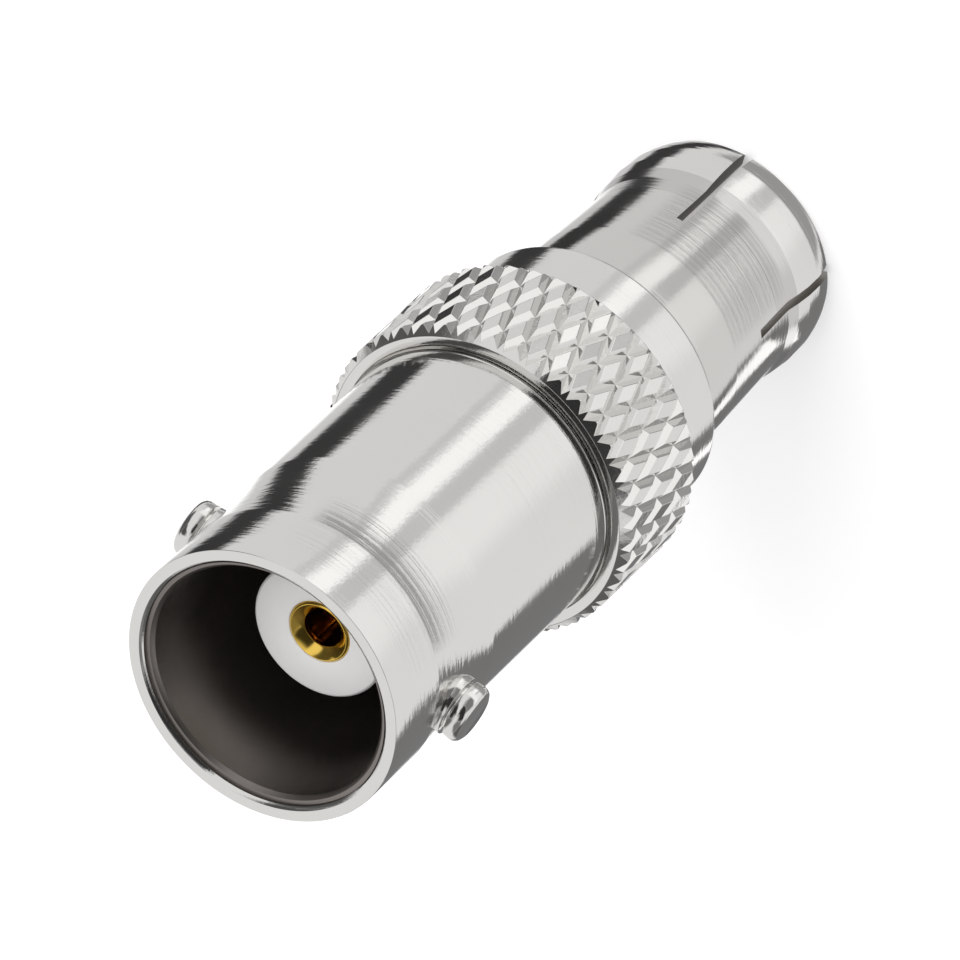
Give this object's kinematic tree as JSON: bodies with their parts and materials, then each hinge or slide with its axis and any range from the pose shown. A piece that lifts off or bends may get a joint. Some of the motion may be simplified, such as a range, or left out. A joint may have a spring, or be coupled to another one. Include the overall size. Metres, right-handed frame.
{
  "type": "BNC jack to push-on plug coaxial adapter",
  "caption": "Nickel-plated coaxial adapter with a bayonet jack, a diamond-knurled collar and a slotted push-on plug sleeve, gold centre contact and white insulators.",
  "frame": {"origin": "centre of the plug sleeve's end faces, on the connector's axis, where it stands", "axes": "+Z along the axis toward the bayonet jack's mouth, +X through the right bayonet stud"},
  "size_m": [0.011, 0.011, 0.0288],
  "materials": {
    "nickel_shell": "bright nickel plate over turned brass",
    "nickel_collar": "bright nickel plate over knurled brass",
    "nickel_sleeve": "bright nickel plate over spring brass",
    "gold_contact": "polished gold plate",
    "white_insulator": "smooth satin white"
  },
  "bodies": {
    "root": {"bnc_shell": "nickel_shell", "bayonet_stud_left": "nickel_shell", "bayonet_stud_right": "nickel_shell", "knurled_collar": "nickel_collar", "plug_sleeve": "nickel_sleeve", "retaining_bush": "nickel_collar", "contact_hood": "gold_contact", "socket_contact": "gold_contact", "plug_pin": "gold_contact", "front_insulator": "white_insulator", "rear_insulator": "white_insulator"}
  },
  "joints": []
}
